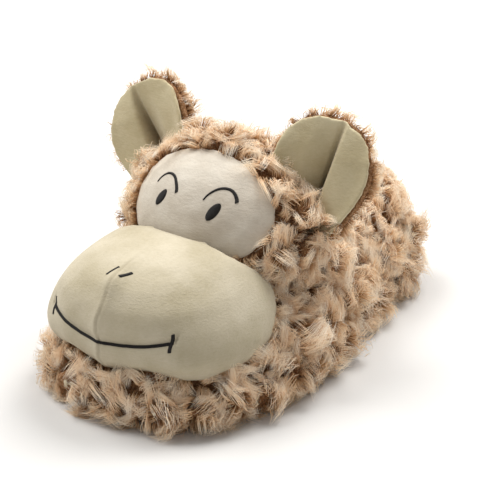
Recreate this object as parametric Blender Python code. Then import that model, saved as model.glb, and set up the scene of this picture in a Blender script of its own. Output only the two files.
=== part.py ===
"""Plush sheep slipper, a closed-toe house slipper with a stuffed sheep's head on its vamp.

Metres, +Z up. The toe points to -Y and the heel to +Y. The wearer's left is at +X.
The origin lies on the floor, under the middle of the slipper's box.
"""
import math
import random
from collections import namedtuple

import bmesh
import bpy
from mathutils import Matrix, Vector

# Foot room, measured inside the plush
INSIDE_LENGTH = 0.228
BALL_WIDTH = 0.106
HEEL_WIDTH = 0.070
TOE_HEIGHT = 0.043
INSTEP_HEIGHT = 0.068
COLLAR_HEIGHT = 0.055
HEEL_RISE = 0.003

# Where the foot's main sections lie, as shares of the length from the toe
BALL_AT = 0.36
HEEL_AT = 0.80
TOE_ROUND = 0.20
THROAT_AT = 0.545
COLLAR_LOW_AT = 0.70
SEAM_AT = 0.575

# Fullness of the last's sections and outline
SECTION_POWER = 2.4
OUTLINE_POWER = 2.3
SWELL = 0.030
SWELL_HEIGHT = 0.030

# Upper
UPPER_WALL = 0.007
HOOD_STEP = 0.002
HEM = 0.002
STATIONS = 18
TURNS = 14

# Sole and insole
SOLE_THICKNESS = 0.008
SOLE_ROUND = 0.002
ARCH_LIFT = 0.0015
TOE_SPRING = 0.003
INSOLE_THICKNESS = 0.007
INSOLE_CROWN = 0.0015

# Clearance between pieces that meet
GAP = 0.0003

# Stuffed head on the vamp
HEAD_CENTRE_Y = -0.0120
HEAD_CENTRE_Z = 0.0740
HEAD_HALF_WIDTH = 0.0530
HEAD_FRONT = 0.0470
HEAD_BACK = 0.0260
HEAD_TOP = 0.0455
HEAD_BOTTOM = 0.0600
HEAD_POWER = 2.0

# Forehead panel, as angles seen from the head's centre
PANEL_THICKNESS = 0.0015
PANEL_PITCH = 38.0
PANEL_SIDE = 60.0
PANEL_TOP = 37.0
PANEL_BOTTOM = 48.0

# Stuffed muzzle over the toe
MUZZLE_CENTRE_Y = -0.0700
MUZZLE_CENTRE_Z = 0.0560
MUZZLE_HALF_WIDTH = 0.0560
MUZZLE_FRONT = 0.0585
MUZZLE_BACK = 0.0460
MUZZLE_TOP = 0.0315
MUZZLE_BOTTOM = 0.0380
MUZZLE_POWER = 2.5
MUZZLE_DROOP = 0.08
MUZZLE_JOWL = 0.28
NOSE_RIDGE = 0.0012
NOSE_RIDGE_WIDTH = 0.0060

# Ears
EAR_HEIGHT = 0.066
EAR_WIDTH = 0.054
EAR_BASE_WIDTH = 0.022
EAR_WIDEST_AT = 0.62
EAR_CUP = 0.010
EAR_PLEAT = 0.0065
EAR_ROOT = 0.010
LINING_THICKNESS = 0.0020
BACK_THICKNESS = 0.0035
EAR_LAYER_GAP = 0.0006
EAR_SEAT_X = 0.0470
EAR_SEAT_Y = -0.0010
EAR_SEAT_Z = 0.0845
# Lean from upright towards +X and turn about the upright, in degrees, for each ear
EAR_POSE = {1.0: (8.0, 20.0), -1.0: (-30.0, 4.0)}

# Pile
PILE = 0.0095
LOCK_WIDTH = 0.0150
LOCK_SPACING = 0.0180
LOCK_SINK = 0.0015
LOCK_CURL = 0.9
LOCK_SIDES = 5
LOCK_TRIES = 24
LOCK_ROOM = 0.98
LOCK_ROWS = (0.012, 0.031, 0.050, 0.066)
LOCK_TOP_TURN = 0.40
EAR_PILE = 0.0060
EAR_LOCK_WIDTH = 0.0085

# Embroidery
THREAD_RISE = 0.0008
EYE_LENGTH = 0.0105
EYE_WIDTH = 0.0058
EYE_APART = 0.0330
EYE_HEIGHT = 0.0965
BROW_WIDTH = 0.0014
BROW_SPAN = 0.0160
BROW_RISE = 0.0055
BROW_HEIGHT = 0.1015
NOSTRIL_LENGTH = 0.0062
NOSTRIL_WIDTH = 0.0016
NOSTRIL_APART = 0.0085
NOSTRIL_Y = -0.1095
MOUTH_HALF = 0.0386
MOUTH_HEIGHT = 0.0480
MOUTH_CURVE = 0.0050
MOUTH_WIDTH = 0.0015
MOUTH_TICK = 0.0095

Egg = namedtuple("Egg", "centre half_width front back top bottom power droop jowl")

HEAD = Egg(
    Vector((0.0, HEAD_CENTRE_Y, HEAD_CENTRE_Z)),
    HEAD_HALF_WIDTH, HEAD_FRONT, HEAD_BACK, HEAD_TOP, HEAD_BOTTOM, HEAD_POWER,
    0.0, 0.0,
)
MUZZLE = Egg(
    Vector((0.0, MUZZLE_CENTRE_Y, MUZZLE_CENTRE_Z)),
    MUZZLE_HALF_WIDTH, MUZZLE_FRONT, MUZZLE_BACK, MUZZLE_TOP, MUZZLE_BOTTOM,
    MUZZLE_POWER, MUZZLE_DROOP, MUZZLE_JOWL,
)


def clear_scene():
    for obj in list(bpy.data.objects):
        bpy.data.objects.remove(obj, do_unlink=True)


def principled(name, colour, roughness, sheen=0.0):
    """A Principled material with a plain colour."""
    material = bpy.data.materials.new(name)
    material.use_nodes = True
    shader = material.node_tree.nodes["Principled BSDF"]
    shader.inputs["Base Color"].default_value = (*colour, 1.0)
    shader.inputs["Roughness"].default_value = roughness
    shader.inputs["Metallic"].default_value = 0.0
    shader.inputs["Sheen Weight"].default_value = sheen
    return material


def object_from(name, mesh, material=None):
    """Turn a bmesh into a linked object with flat, outward faces."""
    bmesh.ops.triangulate(mesh, faces=mesh.faces, quad_method="FIXED")
    bmesh.ops.recalc_face_normals(mesh, faces=mesh.faces)
    data = bpy.data.meshes.new(name)
    mesh.to_mesh(data)
    mesh.free()
    data.shade_smooth()
    data.set_sharp_from_angle(angle=math.radians(50.0))
    obj = bpy.data.objects.new(name, data)
    bpy.context.collection.objects.link(obj)
    if material:
        data.materials.append(material)
    return obj


def hide_cutter(obj):
    obj.hide_render = True
    obj.display_type = "WIRE"
    return obj


def combine(obj, other, operation, overlapping=False):
    """Cut or join with an exact Boolean. The pieces of other may overlap each other."""
    change = obj.modifiers.new(f"{operation.lower()} {other.name}", "BOOLEAN")
    change.operation = operation
    change.object = other
    change.solver = "EXACT"
    change.use_self = overlapping


def add_rings(mesh, rings, cap_start=True, cap_end=True):
    """Join rings of points into one closed skin. A ring of one point is a tip."""
    loops = [[mesh.verts.new(point) for point in ring] for ring in rings]
    for near, far in zip(loops, loops[1:]):
        count = max(len(near), len(far))
        for i in range(count):
            j = (i + 1) % count
            if len(near) == 1:
                corners = (near[0], far[j], far[i])
            elif len(far) == 1:
                corners = (near[i], near[j], far[0])
            else:
                corners = (near[i], near[j], far[j], far[i])
            mesh.faces.new(corners)
    if cap_start and len(loops[0]) > 2:
        mesh.faces.new(loops[0][::-1])
    if cap_end and len(loops[-1]) > 2:
        mesh.faces.new(loops[-1])
    return loops


def signed_power(value, power):
    return math.copysign(abs(value) ** power, value)


def smooth(share):
    """Ease from 0 to 1."""
    share = min(max(share, 0.0), 1.0)
    return share * share * (3.0 - 2.0 * share)


# The last: every piece of the shoe takes its shape from these functions


def last_length(grow):
    return INSIDE_LENGTH + 2.0 * grow


def last_y(along, grow):
    return (along - 0.5) * last_length(grow)


def half_width(along, grow):
    """Half of the outline's width: a round toe, a straight waist and a round heel."""
    ball = BALL_WIDTH / 2.0 + grow
    heel = HEEL_WIDTH / 2.0 + grow
    if along < BALL_AT:
        share = (BALL_AT - along) / BALL_AT
        return ball * (1.0 - share ** OUTLINE_POWER) ** (1.0 / OUTLINE_POWER)
    if along > HEEL_AT:
        share = (along - HEEL_AT) / (1.0 - HEEL_AT)
        return heel * (1.0 - share ** OUTLINE_POWER) ** (1.0 / OUTLINE_POWER)
    return ball + (heel - ball) * smooth((along - BALL_AT) / (HEEL_AT - BALL_AT))


def last_height(along, grow):
    """Height of the last's top: a rounded toe rising over the vamp to the instep."""
    rise = min(along / THROAT_AT, 1.0)
    height = TOE_HEIGHT + (INSTEP_HEIGHT - TOE_HEIGHT) * rise + grow
    if along < TOE_ROUND:
        share = (TOE_ROUND - along) / TOE_ROUND
        height *= math.sqrt(1.0 - share * share)
    return height


def last_point(along, turn, grow, floor=0.0):
    """Point of a section: turn 0 is the hem at +X, 0.5 the top and 1 the hem at -X."""
    angle = math.pi * turn
    width = half_width(along, grow)
    x = width * signed_power(math.cos(angle), 2.0 / SECTION_POWER)
    z = last_height(along, grow) * math.sin(angle) ** (2.0 / SECTION_POWER)
    bulge = 1.0 + SWELL * (1.0 - ((z - SWELL_HEIGHT) / SWELL_HEIGHT) ** 2)
    return Vector((x * bulge, last_y(along, grow) * bulge, max(z, floor)))


def skin_grow(along):
    """Thickness outside the last: the hood's plush laps over the quarter at the seam."""
    return UPPER_WALL + (HOOD_STEP if along < SEAM_AT else 0.0)


def skin_point(along, turn, extra=0.0):
    return last_point(along, turn, skin_grow(along) + extra)


def skin_normal(along, turn):
    step = 0.004
    low = max(along - step, 0.001)
    high = min(along + step, 0.999)
    lengthwise = last_point(high, turn, UPPER_WALL) - last_point(low, turn, UPPER_WALL)
    across = last_point(along, turn + step, UPPER_WALL) - last_point(along, turn - step, UPPER_WALL)
    return lengthwise.cross(across).normalized()


def stations():
    """Shares of the length, close together at the round toe and heel."""
    ends = 0.0015
    shares = []
    for i in range(STATIONS + 1):
        share = 0.5 - 0.5 * math.cos(math.pi * i / STATIONS)
        shares.append(ends + (1.0 - 2.0 * ends) * share)
    lap = 0.002
    shares = [share for share in shares if abs(share - SEAM_AT) > 4.0 * lap]
    return sorted(shares + [SEAM_AT - lap, SEAM_AT + lap])


def last_body(name, grow_at, bottom):
    """Closed body of the last, grown by grow_at(along), standing on the height bottom."""
    rings = []
    for along in stations():
        grow = grow_at(along)
        ring = [last_point(along, i / TURNS, grow) for i in range(TURNS + 1)]
        ring[0].z = ring[-1].z = bottom
        low = min(SWELL_HEIGHT * 0.25, ring[1].z * 0.5)
        ring.insert(1, Vector((ring[0].x, ring[0].y, max(low, bottom + 0.0005))))
        ring.insert(-1, Vector((ring[-1].x, ring[-1].y, max(low, bottom + 0.0005))))
        rings.append(ring)
    toe, heel = (sum(ring, Vector()) / len(ring) for ring in (rings[0], rings[-1]))
    mesh = bmesh.new()
    add_rings(mesh, [[toe]] + rings + [[heel]])
    return object_from(name, mesh)


def inside_last(point, extra):
    """Whether a point lies inside the upper's skin grown by extra."""
    along = point.y / last_length(UPPER_WALL) + 0.5
    if not 0.0 < along < 1.0:
        return False
    grow = skin_grow(along) + extra
    width = half_width(along, grow)
    height = last_height(along, grow)
    share = (abs(point.x) / width) ** SECTION_POWER + (max(point.z, 0.0) / height) ** SECTION_POWER
    return share < 1.0


# Stuffed eggs: the head and the muzzle


def jowl_width(egg, rise):
    """How much wider an egg is at a height over its centre: wide at the jowls, narrow at the top."""
    return 1.0 - egg.jowl * rise / egg.top


def egg_point(egg, direction, grow=0.0):
    """Where a ray from the egg's centre leaves its skin."""
    d = direction.normalized()
    along = egg.front if d.y < 0.0 else egg.back
    upright = egg.top if d.z > 0.0 else egg.bottom
    total = (abs(d.x) / (egg.half_width + grow)) ** egg.power
    total += (abs(d.y) / (along + grow)) ** egg.power
    total += (abs(d.z) / (upright + grow)) ** egg.power
    offset = d * total ** (-1.0 / egg.power)
    if egg.droop:
        front = max(-offset.y / egg.front, 0.0)
        ridge = NOSE_RIDGE * math.exp(-((offset.x / NOSE_RIDGE_WIDTH) ** 2)) * front ** 2
        offset += d * ridge
        offset.x *= jowl_width(egg, offset.z)
        offset.z += egg.droop * offset.y
    return egg.centre + offset


def egg_normal(egg, direction):
    d = direction.normalized()
    side = d.orthogonal().normalized()
    other = d.cross(side)
    step = 0.02
    first = egg_point(egg, d + side * step) - egg_point(egg, d - side * step)
    second = egg_point(egg, d + other * step) - egg_point(egg, d - other * step)
    return first.cross(second).normalized()


def egg_share(egg, point, grow=0.0):
    """Below 1 inside the egg's skin and above 1 outside it."""
    offset = point - egg.centre
    offset.z -= egg.droop * offset.y
    offset.x /= jowl_width(egg, offset.z)
    along = egg.front if offset.y < 0.0 else egg.back
    upright = egg.top if offset.z > 0.0 else egg.bottom
    total = (abs(offset.x) / (egg.half_width + grow)) ** egg.power
    total += (abs(offset.y) / (along + grow)) ** egg.power
    total += (abs(offset.z) / (upright + grow)) ** egg.power
    return total


def egg_body(name, egg, grow, around, levels):
    rings = []
    for level in range(levels + 1):
        lat = math.pi * (level / levels - 0.5)
        if level in (0, levels):
            rings.append([egg_point(egg, Vector((0.0, 0.0, math.sin(lat))), grow)])
            continue
        ring = []
        for i in range(around):
            lon = 2.0 * math.pi * i / around
            flat = math.cos(lat)
            ring.append(egg_point(egg, Vector((flat * math.sin(lon), -flat * math.cos(lon), math.sin(lat))), grow))
        rings.append(ring)
    mesh = bmesh.new()
    add_rings(mesh, rings)
    return object_from(name, mesh)


def facing(egg, x, z):
    """Direction to the point of an egg's front that has this x and z."""
    rise = z - egg.centre.z
    for _ in range(6):
        upright = egg.top if rise > 0.0 else egg.bottom
        across = x / jowl_width(egg, rise)
        rest = 1.0 - (abs(across) / egg.half_width) ** egg.power - (abs(rise) / upright) ** egg.power
        y = -egg.front * max(rest, 0.01) ** (1.0 / egg.power)
        rise = z - egg.centre.z - egg.droop * y
    return Vector((x / jowl_width(egg, rise), y, rise))


def above(egg, x, y):
    """Direction to the point of an egg's top that has this x and y."""
    run = y - egg.centre.y
    rise = egg.top
    for _ in range(6):
        across = x / jowl_width(egg, rise)
        rest = 1.0 - (abs(across) / egg.half_width) ** egg.power - (abs(run) / egg.front) ** egg.power
        rise = egg.top * max(rest, 0.01) ** (1.0 / egg.power)
    return Vector((x / jowl_width(egg, rise), run, rise))


# Ears


def ear_half_width(up):
    """Rounded leaf: narrow at the base, widest above its middle."""
    if up > EAR_WIDEST_AT:
        share = (up - EAR_WIDEST_AT) / (1.0 - EAR_WIDEST_AT)
        return EAR_WIDTH / 2.0 * math.sqrt(max(1.0 - share ** 2.2, 0.0))
    share = up / EAR_WIDEST_AT
    base = EAR_BASE_WIDTH / 2.0
    return base + (EAR_WIDTH / 2.0 - base) * smooth(share) ** 0.8


def ear_surface(across, up):
    """Point of the ear's middle surface in its own frame: x across, z up, -y to the front."""
    x = ear_half_width(up) * across
    z = EAR_HEIGHT * up - EAR_ROOT
    cup = EAR_CUP * across * across * math.sin(math.pi * min(up + 0.15, 1.0)) ** 0.5
    fold = math.exp(-(((across - 0.15) / 0.42) ** 2))
    pleat = EAR_PLEAT * fold * (1.0 - up) * ear_half_width(up) / (EAR_WIDTH / 2.0)
    lean = 0.010 * up * up
    return Vector((x, pleat - cup + lean, z))


def ear_place(side):
    """Matrix from an ear's own frame to its seat on the head's side."""
    lean_out, turn_out = EAR_POSE[side]
    place = Matrix.Translation((side * EAR_SEAT_X, EAR_SEAT_Y, EAR_SEAT_Z))
    place @= Matrix.Rotation(math.radians(turn_out), 4, "Z")
    place @= Matrix.Rotation(math.radians(lean_out), 4, "Y")
    return place @ Matrix.Diagonal((side, 1.0, 1.0, 1.0))


def near_ear(point, margin):
    """Whether a point comes closer than the margin to an ear."""
    for side in (1.0, -1.0):
        local = ear_place(side).inverted() @ point
        for i in range(9):
            for j in range(11):
                if (ear_surface(i / 4.0 - 1.0, j / 10.0) - local).length < margin:
                    return True
    return False


# Pile


# Shares of a lock's length and how full it is there
LOCK_SHAPE = ((0.0, 0.75), (0.40, 1.0), (0.80, 0.62), (1.0, 0.0))


def lock_spine(root, normal, sweep, length):
    """Middle line of a lock, from its sunk root to its bent tip."""
    sweep = (sweep - normal * sweep.dot(normal)).normalized()
    spine = []
    for share, _ in LOCK_SHAPE:
        rise = (length + LOCK_SINK) * share - LOCK_SINK
        spine.append(root + normal * rise + sweep * (length * LOCK_CURL * share * share))
    return spine


def add_lock(mesh, root, normal, sweep, length, width):
    """One tapered horn of pile."""
    spine = lock_spine(root, normal, sweep, length)
    sweep = (sweep - normal * sweep.dot(normal)).normalized()
    side = normal.cross(sweep)
    rings = []
    for middle, (share, fullness) in zip(spine, LOCK_SHAPE):
        axis = (normal + sweep * (2.0 * LOCK_CURL * share)).normalized()
        out = side.cross(axis)
        if fullness == 0.0:
            rings.append([middle])
            continue
        radius = width / 2.0 * fullness
        ring = []
        for i in range(LOCK_SIDES):
            angle = 2.0 * math.pi * i / LOCK_SIDES
            ring.append(middle + (side * math.cos(angle) + out * math.sin(angle)) * radius)
        rings.append(ring)
    add_rings(mesh, rings)


def halved(spine):
    """The spine's points and the points halfway between them."""
    return spine + [(near + far) / 2.0 for near, far in zip(spine, spine[1:])]


def room_for(spine, others, width):
    """Whether a lock's spine keeps its width away from the locks already placed."""
    for other in others:
        for first in halved(spine):
            for second in halved(other):
                if (first - second).length < width:
                    return False
    return True


def grow_locks(name, seats, length, width, allowed, seed, placed):
    """Place a lock on each seat that has room, each swept its own way, and note its spine."""
    mesh = bmesh.new()
    draw = random.Random(seed)
    for point, normal in seats:
        for _ in range(LOCK_TRIES):
            sweep = Vector((draw.uniform(-1.0, 1.0), draw.uniform(-1.0, 1.0), draw.uniform(-0.6, 0.8)))
            spine = lock_spine(point, normal, sweep, length)
            if allowed(spine) and room_for(spine, placed, width * LOCK_ROOM):
                placed.append(spine)
                add_lock(mesh, point, normal, sweep, length, width)
                break
    print(name, len(placed))
    return hide_cutter(object_from(name, mesh))


def upper_seats():
    """Staggered rows of places over the skin, with their normals."""
    seats = []
    samples = 400
    for row, height in enumerate(LOCK_ROWS):
        travelled = LOCK_SPACING * (0.5 if row % 2 else 0.0)
        previous = None
        for i in range(samples):
            share = i / samples
            along = 0.5 - 0.488 * math.cos(2.0 * math.pi * share)
            top = last_height(along, skin_grow(along))
            turn = LOCK_TOP_TURN
            if height < top * 0.93:
                turn = math.asin((height / top) ** (SECTION_POWER / 2.0)) / math.pi
            turn = turn if share < 0.5 else 1.0 - turn
            point = skin_point(along, turn)
            if previous:
                travelled += (point - previous).length
            previous = point
            if travelled >= LOCK_SPACING:
                travelled -= LOCK_SPACING
                seats.append((point, skin_normal(along, turn)))
    return seats


def upper_locks(placed):
    """Pile over the skin, left out under the head and the muzzle."""

    def allowed(spine):
        for point in spine[1:]:
            if point.z < HEM + LOCK_WIDTH * 0.45:
                return False
            if egg_share(HEAD, point, LOCK_WIDTH * 0.55) < 1.0:
                return False
            if egg_share(MUZZLE, point, LOCK_WIDTH * 0.55) < 1.0:
                return False
            if near_ear(point, LOCK_WIDTH * 0.5 + BACK_THICKNESS + 0.004):
                return False
        root = spine[1]
        return root.z < collar_line(root.y) - LOCK_WIDTH * 0.6

    return grow_locks("upper_locks", upper_seats(), PILE, LOCK_WIDTH, allowed, 7, placed)


# Collar


def collar_line(y):
    """Height of the collar's edge: from the throat down to the quarters, and up at the heel."""
    throat = last_y(THROAT_AT, UPPER_WALL)
    low = last_y(COLLAR_LOW_AT, UPPER_WALL)
    back = last_y(1.0, UPPER_WALL)
    if y < throat:
        return 1.0
    top = last_height(THROAT_AT, UPPER_WALL)
    if y < low:
        share = (low - y) / (low - throat)
        return COLLAR_HEIGHT + (top - COLLAR_HEIGHT) * share ** 1.8
    return COLLAR_HEIGHT + HEEL_RISE * smooth((y - low) / (back - low))


def collar_cutter():
    """Everything above the collar's edge, as one block with a curved underside."""
    throat = last_y(THROAT_AT, UPPER_WALL) + 1e-5
    back = last_y(1.0, UPPER_WALL) * (1.0 + 2.0 * SWELL) + PILE
    steps = 12
    reach = BALL_WIDTH
    edge = []
    for i in range(steps + 1):
        y = throat + (back - throat) * (i / steps) ** 1.3
        edge.append((y, collar_line(y)))
    edge.append((back, INSTEP_HEIGHT * 2.0))
    edge.append((throat, INSTEP_HEIGHT * 2.0))
    mesh = bmesh.new()
    add_rings(mesh, [[Vector((x, y, z)) for y, z in edge] for x in (-reach, reach)])
    return hide_cutter(object_from("collar_cutter", mesh))


# Pieces


def make_outsole(material):
    """Soft sole pad inside the hem, flat under heel and ball, with a low arch."""
    rings = []
    for along in stations():
        width = half_width(along, -GAP)
        y = last_y(along, -GAP)
        arch = ARCH_LIFT * math.sin(math.pi * min(max((along - 0.42) / 0.26, 0.0), 1.0)) ** 2
        spring = TOE_SPRING * max(0.0, 1.0 - along / 0.16) ** 2
        low = arch + spring
        inset = min(SOLE_ROUND, width * 0.3)
        top = SOLE_THICKNESS
        rings.append([
            Vector((width - inset, y, low)),
            Vector((width, y, low + SOLE_ROUND * 0.8)),
            Vector((width, y, top - SOLE_ROUND * 0.5)),
            Vector((width - inset * 0.5, y, top)),
            Vector((-width + inset * 0.5, y, top)),
            Vector((-width, y, top - SOLE_ROUND * 0.5)),
            Vector((-width, y, low + SOLE_ROUND * 0.8)),
            Vector((-width + inset, y, low)),
        ])
    mesh = bmesh.new()
    add_rings(mesh, rings)
    return object_from("outsole", mesh, material)


def make_insole(material):
    """Footbed on the sole: the last's own body between two heights, crowned on top."""
    base = SOLE_THICKNESS + GAP
    top = base + INSOLE_THICKNESS
    reach = BALL_WIDTH
    crown = BALL_WIDTH * 0.2
    rings = []
    for y in (-last_length(PILE) / 2.0, last_length(PILE) / 2.0):
        rings.append([
            Vector((reach, y, base)),
            Vector((reach, y, top)),
            Vector((crown * 2.0, y, top)),
            Vector((crown, y, top + INSOLE_CROWN)),
            Vector((-crown, y, top + INSOLE_CROWN)),
            Vector((-crown * 2.0, y, top)),
            Vector((-reach, y, top)),
            Vector((-reach, y, base)),
        ])
    mesh = bmesh.new()
    add_rings(mesh, rings)
    slab = hide_cutter(object_from("insole_slab", mesh))
    insole = last_body("insole", lambda along: -GAP, -0.01)
    insole.data.materials.append(material)
    combine(insole, slab, "INTERSECT")
    return insole


def make_upper(material, placed):
    """Hollow plush upper: the grown last less the last, open at the collar and underneath."""
    outer = last_body("upper", skin_grow, HEM)
    outer.data.materials.append(material)
    inner = hide_cutter(last_body("foot_room", lambda along: 0.0, -0.02))
    combine(outer, inner, "DIFFERENCE")
    combine(outer, collar_cutter(), "DIFFERENCE")
    combine(outer, upper_locks(placed), "UNION", overlapping=True)
    return outer


def head_seats():
    """Rings of places over the head, with their normals."""
    seats = []
    for row, lat_degrees in enumerate((84, 63, 42, 21, 0, -20)):
        lat = math.radians(lat_degrees)
        ring = 2.0 * math.pi * HEAD_FRONT * math.cos(lat)
        around = max(1, round(ring / (LOCK_SPACING * 0.75)))
        for i in range(around):
            lon = 2.0 * math.pi * (i + 0.5 * (row % 2)) / around
            flat = math.cos(lat)
            d = Vector((flat * math.sin(lon), -flat * math.cos(lon), math.sin(lat)))
            seats.append((egg_point(HEAD, d), egg_normal(HEAD, d)))
    return seats


def head_locks(placed):
    """Pile around the forehead panel, clear of the muzzle, the vamp and the ears."""
    width = LOCK_WIDTH * 0.9

    def allowed(spine):
        if inside_last(spine[1], width * 0.7):
            return False
        for point in spine[1:]:
            if near_ear(point, width * 0.5 + BACK_THICKNESS + 0.004):
                return False
            if panel_share(point - HEAD.centre) < 1.16:
                return False
            if egg_share(MUZZLE, point, width * 0.55) < 1.0 or inside_last(point, width * 0.7):
                return False
        return True

    return grow_locks("head_locks", head_seats(), PILE * 0.8, width, allowed, 11, placed)


def make_head(material, vamp, placed):
    """Stuffed hood that sits on the vamp."""
    head = egg_body("head", HEAD, 0.0, 24, 14)
    head.data.materials.append(material)
    combine(head, vamp, "DIFFERENCE")
    combine(head, head_locks(placed), "UNION", overlapping=True)
    return head


def panel_axes():
    pitch = math.radians(PANEL_PITCH)
    middle = Vector((0.0, -math.cos(pitch), math.sin(pitch)))
    up = Vector((0.0, math.sin(pitch), math.cos(pitch)))
    return middle, up


def panel_direction(bearing, share):
    """Direction at a share of the way from the panel's middle to its edge."""
    middle, up = panel_axes()
    reach = PANEL_TOP if math.sin(bearing) > 0.0 else PANEL_BOTTOM
    angle = 1.0 / math.hypot(math.cos(bearing) / PANEL_SIDE, math.sin(bearing) / reach)
    angle = math.radians(angle * share)
    tangent = Vector((math.cos(bearing), 0.0, 0.0)) + up * math.sin(bearing)
    return middle * math.cos(angle) + tangent * math.sin(angle)


def panel_share(direction):
    """Below 1 on the forehead panel and above 1 off it."""
    middle, up = panel_axes()
    d = direction.normalized()
    angle = math.degrees(d.angle(middle))
    bearing = math.atan2(d.dot(up), d.x)
    reach = PANEL_TOP if math.sin(bearing) > 0.0 else PANEL_BOTTOM
    return angle * math.hypot(math.cos(bearing) / PANEL_SIDE, math.sin(bearing) / reach)


def make_face_panel(material, vamp, seat):
    """Forehead of short-pile cloth laid over the head."""
    around = 24
    shares = (0.97, 0.75, 0.5, 0.25, 0.0)
    layers = []
    for grow, steps in ((-PANEL_THICKNESS, shares), (GAP + PANEL_THICKNESS, shares[::-1])):
        for share in steps:
            if share == 0.0:
                layers.append([egg_point(HEAD, panel_direction(0.0, 0.0), grow)])
                continue
            layers.append([
                egg_point(HEAD, panel_direction(2.0 * math.pi * i / around, share), grow)
                for i in range(around)
            ])
    inner, outer = layers[:len(shares)], layers[len(shares):]
    mesh = bmesh.new()
    inner_loops = add_rings(mesh, inner, cap_start=False)
    outer_loops = add_rings(mesh, outer, cap_end=False)
    rim_in, rim_out = inner_loops[0], outer_loops[-1]
    for i in range(around):
        j = (i + 1) % around
        mesh.faces.new((rim_in[i], rim_in[j], rim_out[j], rim_out[i]))
    panel = object_from("face_panel", mesh, material)
    combine(panel, seat, "DIFFERENCE")
    combine(panel, vamp, "DIFFERENCE")
    return panel


def make_muzzle(material, vamp, brow):
    """Stuffed snout over the toe, cut to sit on the vamp and against the forehead."""
    muzzle = egg_body("muzzle", MUZZLE, 0.0, 28, 14)
    muzzle.data.materials.append(material)
    combine(muzzle, vamp, "DIFFERENCE")
    combine(muzzle, brow, "DIFFERENCE")
    return muzzle


def ear_shell(name, side, front, thickness, material):
    """One layer of an ear, from its front face to its back face."""
    columns = 8
    levels = 9
    top = 0.985
    shares = [top * (1.0 - (1.0 - i / levels) ** 1.25) for i in range(levels + 1)]
    mesh = bmesh.new()
    rings = []
    for up in shares:
        forward = []
        backward = []
        for i in range(columns + 1):
            across = 2.0 * i / columns - 1.0
            step = 0.02
            run = ear_surface(min(across + step, 1.0), up) - ear_surface(max(across - step, -1.0), up)
            rise = ear_surface(across, min(up + step, 1.0)) - ear_surface(across, max(up - step, 0.0))
            normal = run.cross(rise).normalized()
            point = ear_surface(across, up)
            forward.append(point - normal * front)
            backward.append(point - normal * (front + thickness))
        rings.append(forward + backward[::-1])
    add_rings(mesh, rings)
    mesh.transform(ear_place(side))
    return object_from(name, mesh, material)


# Where the ear's locks grow on its back: across from edge to edge, and up from the base
EAR_LOCKS = (
    (-0.72, 0.62), (-0.55, 0.84), (0.0, 0.90), (0.55, 0.84),
    (0.72, 0.60), (0.0, 0.62), (0.1, 0.36),
)


def ear_locks(side):
    """Short locks over the back of an ear, swept outwards so that they show past its edge."""
    mesh = bmesh.new()
    step = 0.02
    for across, up in EAR_LOCKS:
        run = ear_surface(across + step, up) - ear_surface(across - step, up)
        rise = ear_surface(across, up + step) - ear_surface(across, up - step)
        backward = rise.cross(run).normalized()
        root = ear_surface(across, up) + backward * (EAR_LAYER_GAP + BACK_THICKNESS)
        sweep = Vector((across, 0.0, up - 0.45))
        add_lock(mesh, root, backward, sweep, EAR_PILE, EAR_LOCK_WIDTH)
    mesh.transform(ear_place(side))
    return hide_cutter(object_from(f"ear_locks_{int(side)}", mesh))


def stroke(name, points, normals, width_at, material):
    """Raised line of satin stitch: a flat lens-shaped bar along a path on a surface."""
    rings = []
    last = len(points) - 1
    for i, (point, normal) in enumerate(zip(points, normals)):
        ahead = points[min(i + 1, last)] - points[max(i - 1, 0)]
        side = ahead.normalized().cross(normal).normalized()
        half = width_at(i / last) / 2.0
        base = point + normal * GAP
        ring = [
            base - side * half,
            base - side * half * 0.6 + normal * THREAD_RISE * 0.9,
            base + normal * THREAD_RISE,
            base + side * half * 0.6 + normal * THREAD_RISE * 0.9,
            base + side * half,
        ]
        rings.append(ring)
    mesh = bmesh.new()
    add_rings(mesh, rings)
    return object_from(name, mesh, material)


def on_forehead(x, z):
    direction = facing(HEAD, x, z)
    return egg_point(HEAD, direction, GAP + PANEL_THICKNESS), egg_normal(HEAD, direction)


def make_embroidery(material):
    """Eyes, brows, nostrils and mouth."""
    for label, side in (("left", 1.0), ("right", -1.0)):
        eye_x = side * EYE_APART / 2.0
        path = []
        for i in range(9):
            share = i / 8.0 - 0.5
            path.append(on_forehead(eye_x + share * EYE_LENGTH * 0.35, EYE_HEIGHT + share * EYE_LENGTH * 0.75))
        oval = lambda s: EYE_WIDTH * max(1.0 - (2.0 * s - 1.0) ** 2, 0.06) ** 0.5
        stroke(f"eye_{label}", [p for p, _ in path], [n for _, n in path], oval, material)
        path = []
        for i in range(11):
            share = i / 5.0 - 1.0
            rise = BROW_RISE * (1.0 - share * share) ** 0.75 if abs(share) < 1.0 else 0.0
            path.append(on_forehead(eye_x + 0.001 + share * BROW_SPAN / 2.0, BROW_HEIGHT + rise))
        thin = lambda s: BROW_WIDTH * (0.7 + 0.5 * s)
        stroke(f"brow_{label}", [p for p, _ in path], [n for _, n in path], thin, material)
        points, normals = [], []
        for i in range(5):
            share = i / 4.0 - 0.5
            direction = above(
                MUZZLE,
                side * NOSTRIL_APART / 2.0 + share * NOSTRIL_LENGTH * 0.55,
                NOSTRIL_Y + share * NOSTRIL_LENGTH * 0.85,
            )
            points.append(egg_point(MUZZLE, direction))
            normals.append(egg_normal(MUZZLE, direction))
        even = lambda s: NOSTRIL_WIDTH * max(1.0 - (2.0 * s - 1.0) ** 4, 0.3)
        stroke(f"nostril_{label}", points, normals, even, material)


def mouth_point(share):
    """Point and normal along the mouth, from -1 at one tick to 1 at the other."""
    x = MOUTH_HALF * share
    z = MOUTH_HEIGHT + MOUTH_CURVE * share * share
    direction = facing(MUZZLE, x, z)
    return egg_point(MUZZLE, direction), egg_normal(MUZZLE, direction)


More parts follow.
